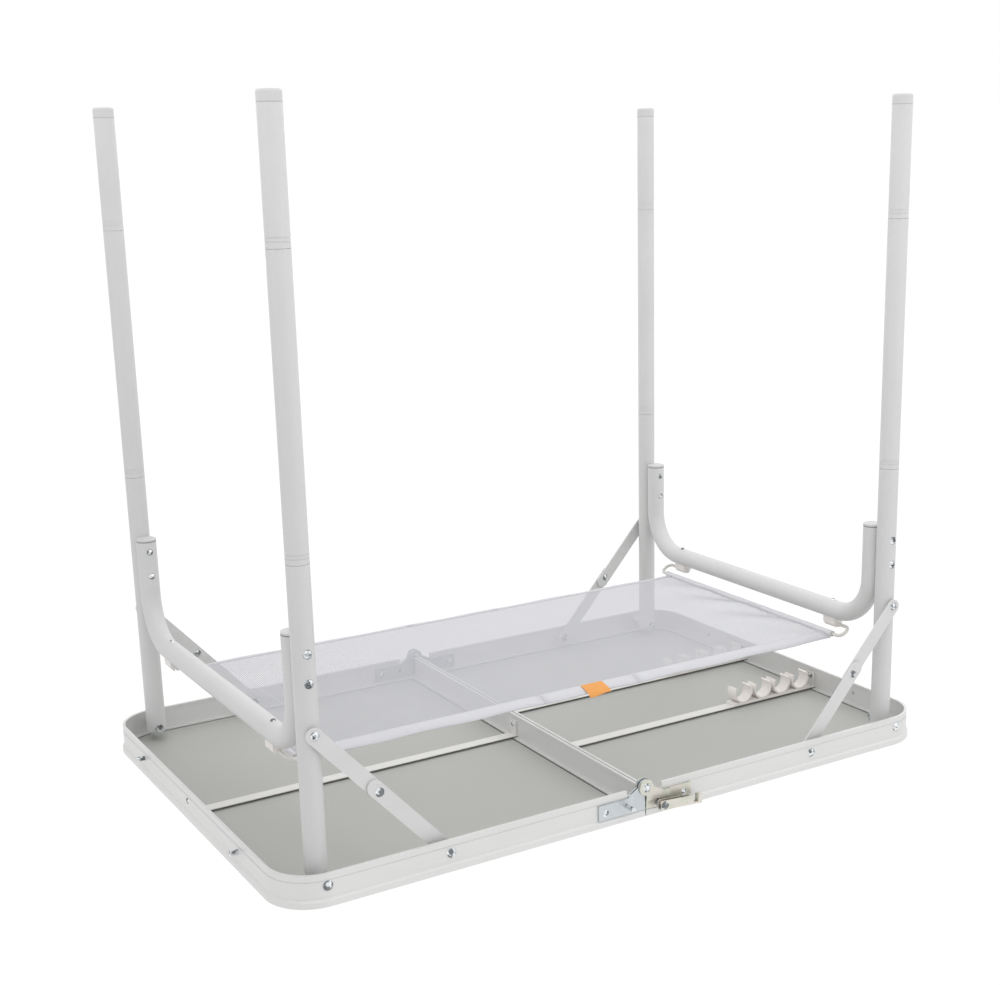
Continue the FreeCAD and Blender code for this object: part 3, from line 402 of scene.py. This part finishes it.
weaving = {"waver": 0.6, "cloud": 25, "relief": 0.3, "depth": 0.0003, "roughness": 0.8}
cloths = {    # thread in mm, coarser than the real one so that it shows
    "net": {"name": "knittedPolyesterNet", "light": "#C1C1C7", "dark": "#B9B9BF", "thread": 1.2, "sheen": 0.2},
    "hem": {"name": "wovenHemTape", "light": "#D4D4D9", "dark": "#CDCDD2", "thread": 2.4, "sheen": 0.2},
    # the same tape as the hem, painted lighter than the hem to make up for the shade that falls on the sleeve
    "sleeve": {"name": "sleeveTapePaintedLighter", "light": "#E0E0E4", "dark": "#D9D9DE", "thread": 2.4, "sheen": 0.2},
    "tag": {"name": "orangeWovenLabel", "light": "#ECA55A", "dark": "#E29748", "thread": 2.0, "sheen": 0.1},
}


def wovenCloth(setup):
    # plain-woven polyester: matt, with a fine over-and-under thread relief and soft sheen
    finish, tree, shader, coord = newFinish(setup["name"])
    place = coord.outputs["Object"]
    warp, weft = [put(tree, "ShaderNodeTexWave", {
        "Vector": place, "Scale": bandsPerMm(setup["thread"]), "Distortion": weaving["waver"]},
        bands_direction=way).outputs["Fac"] for way in "XY"]
    over = put(tree, "ShaderNodeMath", {0: warp, 1: weft}, operation="MULTIPLY")
    cloud = put(tree, "ShaderNodeTexNoise", {"Vector": place, "Scale": perMm(weaving["cloud"]), "Detail": 3})
    mixed = put(tree, "ShaderNodeMath", {0: over, 1: cloud}, operation="ADD")
    tone = put(tree, "ShaderNodeMix", {"Factor": mixed, **tones(setup, "dark", "light")}, data_type="RGBA")
    relief = put(tree, "ShaderNodeBump", {
        "Height": over, "Strength": weaving["relief"], "Distance": weaving["depth"]})
    fill(tree, shader, {"Base Color": tone, "Normal": relief, "Roughness": weaving["roughness"],
                        "Sheen Weight": setup["sheen"]})
    return finish


clothFinishes = {name: wovenCloth(setup) for name, setup in cloths.items()}


def steps(a, b, size):
    count = max(1, round(abs(b - a) / size))
    return [a + (b - a) * i / count for i in range(count + 1)]


def addStrip(verts, faces, path, half):
    # one flat thread along path; half is the sideways half width
    start = len(verts)
    for point in path:
        verts += [point - half, point + half]
    for i in range(start, len(verts) - 2, 2):
        faces.append((i, i + 1, i + 3, i + 2))


def addLoft(verts, faces, rings):
    # closed band through rings of equal point count, with capped ends
    start, count = len(verts), len(rings[0])
    last = start + (len(rings) - 1) * count
    for ring in rings:
        verts += ring
    for r in range(start, last, count):
        for c in range(count):
            d = (c + 1) % count
            faces.append((r + c, r + d, r + count + d, r + count + c))
    faces.append(tuple(start + c for c in reversed(range(count))))
    faces.append(tuple(last + c for c in range(count)))


def makePiece(name, verts, faces, *materials):
    mesh = bpy.data.meshes.new(name)
    mesh.from_pydata(verts, [], faces)
    for material in materials:
        mesh.materials.append(material)
    mesh.update()
    piece = bpy.data.objects.new(name, mesh)
    scene.collection.objects.link(piece)
    return piece


shelf = {
    "end": 0.341, "half": 0.166, "height": 0.6125,    # end wire, half width and level
    "fold": 0.06,                                     # half of the length that turns over the table's fold
    "endGap": 0.003,
    "strand": 0.00115, "pitch": 0.0023,               # wider threads than the real knit so that they show
    "layer": 0.0001,                                  # threads one way lie this far over the others
    "alongStep": 0.011, "acrossStep": 0.012,
}
pucker = {"from": 0.2, "rise": 0.0028, "across": 70, "along": 28, "sway": 4}
hem = {
    "width": 0.016, "netShare": 0.9,                  # how far the net runs under the hem
    "section": [(0, -0.0006), (0.3125, -0.0008), (0.6875, 0.001), (1, 0.0032), (1.025, 0.0042),
                (0.975, 0.0048), (0.65625, 0.0026), (0.3125, 0.0008), (0, 0.0006)],    # share of width, rise
    "wave": 0.0006, "waves": 60,
}
stitch = {
    "every": 0.004, "half": 0.0013, "halfWidth": 0.0004,
    "hemIn": 0.003, "hemLow": 0.0012, "hemDip": 0.0004,    # row along a hem
    "endIn": 0.042, "endLow": 0.002, "endDip": 0.0003,     # row across the end, which wanders a little
    "wander": 0.0012, "wanders": 45,
}


def ripple(x, y):
    # the cloth lies nearly flat and puckers a little towards the end wires
    near = max(0.0, (abs(x) - pucker["from"]) / (shelf["end"] - pucker["from"]))
    wave = math.sin(pucker["across"] * y + pucker["sway"] * math.sin(pucker["along"] * x))
    return pucker["rise"] * near * near * wave * (1 - abs(y) / shelf["half"])


def addStitch(verts, faces, x, y, low, dip, way):
    # short thread that sinks in the middle
    run = Vector(way) * stitch["half"]
    ends, middle = Vector((x, y, shelf["height"] - low + dip)), Vector((x, y, shelf["height"] - low))
    addStrip(verts, faces, [ends - run, middle, ends + run], Vector((way[1], way[0], 0)) * stitch["halfWidth"])


def shelfZone(name, fromX, toX):
    # one length of the shelf: threads both ways, folded hems front and back, sewn rows
    threads, threadFaces, tape, tapeFaces = [], [], [], []
    inner, level, pitch = shelf["half"] - hem["width"], shelf["height"], shelf["pitch"]
    netHalf, half = shelf["half"] - hem["width"] * hem["netShare"], shelf["strand"] / 2
    alongX, alongY = steps(fromX, toX, shelf["alongStep"]), steps(-netHalf, netHalf, shelf["acrossStep"])
    for y in steps(-netHalf, netHalf, pitch):
        path = [Vector((x, y, level + shelf["layer"] + ripple(x, y))) for x in alongX]
        addStrip(threads, threadFaces, path, Vector((0, half, 0)))
    for x in steps(fromX, toX, pitch)[:-1]:
        x += pitch / 2
        path = [Vector((x, y, level - shelf["layer"] + ripple(x, y))) for y in alongY]
        addStrip(threads, threadFaces, path, Vector((half, 0, 0)))
    for side, edge in ((-1, fromX), (1, toX)):
        if abs(edge - side * shelf["end"]) > 2 * shelf["endGap"]:
            continue    # no wire at this end
        for y in steps(-netHalf, netHalf, stitch["every"])[1:-1]:
            x = edge - side * stitch["endIn"] + stitch["wander"] * math.sin(stitch["wanders"] * y)
            addStitch(tape, tapeFaces, x, y, stitch["endLow"], stitch["endDip"], (0, 1, 0))
    for side in (-1, 1):
        rings = []
        for x in alongX:
            wave = hem["wave"] * math.sin(hem["waves"] * x + side)
            ring = [Vector((x, side * (inner + share * hem["width"]), level + up + wave * share))
                    for share, up in hem["section"]]
            rings.append(ring if side > 0 else ring[::-1])
        addLoft(tape, tapeFaces, rings)
        for x in steps(fromX, toX, stitch["every"])[1:-1]:
            y = side * (inner + stitch["hemIn"])
            addStitch(tape, tapeFaces, x, y, stitch["hemLow"], stitch["hemDip"], (1, 0, 0))
    tapeFaces = [tuple(i + len(threads) for i in face) for face in tapeFaces]
    zone = makePiece(name, threads + tape, threadFaces + tapeFaces, clothFinishes["net"], clothFinishes["hem"])
    for face in zone.data.polygons:
        isTape = face.index >= len(threadFaces)
        face.material_index, face.use_smooth = int(isTape), isTape
    zone.visible_shadow = zone.visible_diffuse = False    # the fine knit lets nearly all light through
    return zone


reach, height, fold = shelf["end"] - shelf["endGap"], shelf["height"], shelf["fold"]
shelfRight = shelfZone("shelfNetRight", fold, reach)
shelfLeft = shelfZone("shelfNetLeft", -reach, -fold)
shelfMiddle = shelfZone("shelfNetMiddle", -fold, fold)
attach(shelfRight, "half_right")
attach(shelfLeft, "half_left")
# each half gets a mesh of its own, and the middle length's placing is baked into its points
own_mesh(shelfRight)
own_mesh(shelfLeft)
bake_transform(shelfMiddle)
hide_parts("shelf_net")
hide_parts("shelf_net")
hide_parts("shelf_net")

sleeve = {
    "outer": 0.0035, "inner": 0.0027, "flat": 0.0215,
    "around": 14, "step": 0.008,
    "gather": 0.07, "gathers": (190, 47),    # the cloth bunches a little along the wire
}


def endSleeve(name, side):
    # cloth tube that the end wire runs through
    verts, faces = [], []
    stations = steps(-shelf["half"], shelf["half"], sleeve["step"])
    around, rows = sleeve["around"], len(stations)
    for layer in ("outer", "inner"):
        for y in stations:
            gather = math.sin(sleeve["gathers"][0] * y) * math.sin(sleeve["gathers"][1] * y + 1)
            radius = sleeve[layer] * (1 + sleeve["gather"] * gather)
            for a in range(around):
                angle = 2 * math.pi * a / around
                verts.append((side * shelf["end"] + radius * math.cos(angle), y,
                              shelf["height"] + radius * math.sin(angle)))
    size = rows * around    # points in one layer
    for r in range(rows - 1):
        for a in range(around):
            b = (a + 1) % around
            quad = (r * around + a, r * around + b, (r + 1) * around + b, (r + 1) * around + a)
            faces += [quad[::-1], tuple(i + size for i in quad)]
    for r in (0, rows - 1):
        for a in range(around):
            b = (a + 1) % around
            quad = (r * around + a, r * around + b, size + r * around + b, size + r * around + a)
            faces.append(quad if r == 0 else quad[::-1])
    piece = makePiece(name, verts, faces, clothFinishes["sleeve"])
    piece.data.polygons.foreach_set("use_smooth", [True] * len(faces))
    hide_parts("shelf_net")
    return piece


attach(endSleeve("endSleeveRight", 1), "wire_right")
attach(endSleeve("endSleeveLeft", -1), "wire_left")

tag = {
    "middle": -0.006, "width": 0.027, "onHem": 0.012, "past": 0.007, "thick": 0.0007,
    "step": 0.002,
    "bend": 0.004,                                 # from the hem's edge to where the tag bends
    "rise": (-0.0014, 0.0004, 0.003, 0.0055),      # from its inner edge out
    "curl": 0.0012, "curls": 150, "curlShare": (0, 0, 0.5, 1),
}


def hemTag(name):
    # small woven label folded over the front hem
    verts, faces, rings = [], [], []
    inward = (tag["onHem"], tag["bend"], -tag["bend"], -tag["past"])
    for x in steps(tag["middle"] - tag["width"] / 2, tag["middle"] + tag["width"] / 2, tag["step"]):
        curl = tag["curl"] * math.sin(tag["curls"] * (x - tag["middle"]))
        lower = [Vector((x, y - shelf["half"], height + up + curl * share))
                 for y, up, share in zip(inward, tag["rise"], tag["curlShare"])]
        rings.append(lower + [point - Vector((0, 0, tag["thick"])) for point in reversed(lower)])
    addLoft(verts, faces, rings)
    return makePiece(name, verts, faces, clothFinishes["tag"])


label = hemTag("orangeTag")
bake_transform(label)
print("net shelf in three lengths, end sleeves and label")


def inSight(tree):
    # 1 for what the camera sees, also by way of metal and glass
    path = put(tree, "ShaderNodeLightPath").outputs
    seen = put(tree, "ShaderNodeMath", {0: path["Is Camera Ray"], 1: path["Is Glossy Ray"]}, operation="MAXIMUM")
    return put(tree, "ShaderNodeMath", {0: seen, 1: path["Is Transmission Ray"]}, operation="MAXIMUM")


lightSetup = {"world": 0.75, "seen": 1.04}    # light on the table, and the white ground behind it
world = bpy.data.worlds.new("studio")
scene.world = world
world.use_nodes = True
sky = world.node_tree
strength = put(sky, "ShaderNodeMapRange", {
    "Value": inSight(sky), "To Min": lightSetup["world"], "To Max": lightSetup["seen"]})
fill(sky, sky.nodes["Background"], {"Strength": strength, "Color": (1, 1, 1, 1)})

floorSetup = {
    "radius": 1.9, "solid": 1.0,    # fades out between these
    "edges": 96,
    "under": 0.008,                 # below the feet, so that light reaches their soles
    "colour": "#F4F4F4", "roughness": 0.9,
    "clearShare": 0.88,             # mostly clear to the camera: a pulled leg tube goes below the floor
}
bpy.ops.mesh.primitive_circle_add(vertices=floorSetup["edges"], radius=floorSetup["radius"], fill_type="NGON",
                                  location=(0, 0, -floorSetup["under"]))
floor = bpy.context.object
floor.name = "floor"
floorFinish, floorTree, floorShader, floorCoord = newFinish("paleFloor")
fill(floorTree, floorShader, {"Base Color": linear(floorSetup["colour"]), "Roughness": floorSetup["roughness"]})
share = put(floorTree, "ShaderNodeMath", {
    0: inSight(floorTree), 1: floorSetup["clearShare"]}, operation="MULTIPLY")
clear = put(floorTree, "ShaderNodeBsdfTransparent")
lit = put(floorTree, "ShaderNodeMixShader", {0: share, 1: floorShader, 2: clear})
away = put(floorTree, "ShaderNodeVectorMath", {0: floorCoord.outputs["Object"]}, operation="LENGTH")
fade = put(floorTree, "ShaderNodeMapRange", {
    "Value": away, "From Min": floorSetup["solid"], "From Max": floorSetup["radius"]},
    interpolation_type="SMOOTHSTEP")
ground = put(floorTree, "ShaderNodeMixShader", {0: fade, 1: lit, 2: clear})
fill(floorTree, floorTree.nodes["Material Output"], {"Surface": ground})
floor.data.materials.append(floorFinish)

lamps = {
    "topSoft": {"place": (-0.6, -1.0, 2.6), "aim": (0, 0, 0.7), "size": 2.6, "power": 9},
    "lowSide": {"place": (-1.1, -2.0, 0.4), "aim": (-0.3, 0, 0.5), "size": 1.4, "power": 3},
    # far off, so that it lifts both ends of the table alike
    "endFill": {"place": (6.0, -0.9, 0.3), "aim": (-0.3, 0, 0.5), "size": 3.0, "power": 24},
    # just over the floor, for the underside
    "floorPanel": {"place": (-0.45, 0.1, -0.0075), "aim": (-0.45, 0.1, 1), "size": 2.2, "power": 7.5},
}
for name, lamp in lamps.items():
    light = bpy.data.objects.new(name, bpy.data.lights.new(name, "AREA"))
    scene.collection.objects.link(light)
    light.data.energy = lamp["power"]
    light.data.size = lamp["size"]
    light.location = lamp["place"]
    light.rotation_euler = (Vector(lamp["aim"]) - Vector(lamp["place"])).to_track_quat("-Z", "Y").to_euler()
    light.visible_camera = False
print("floor and lamps")
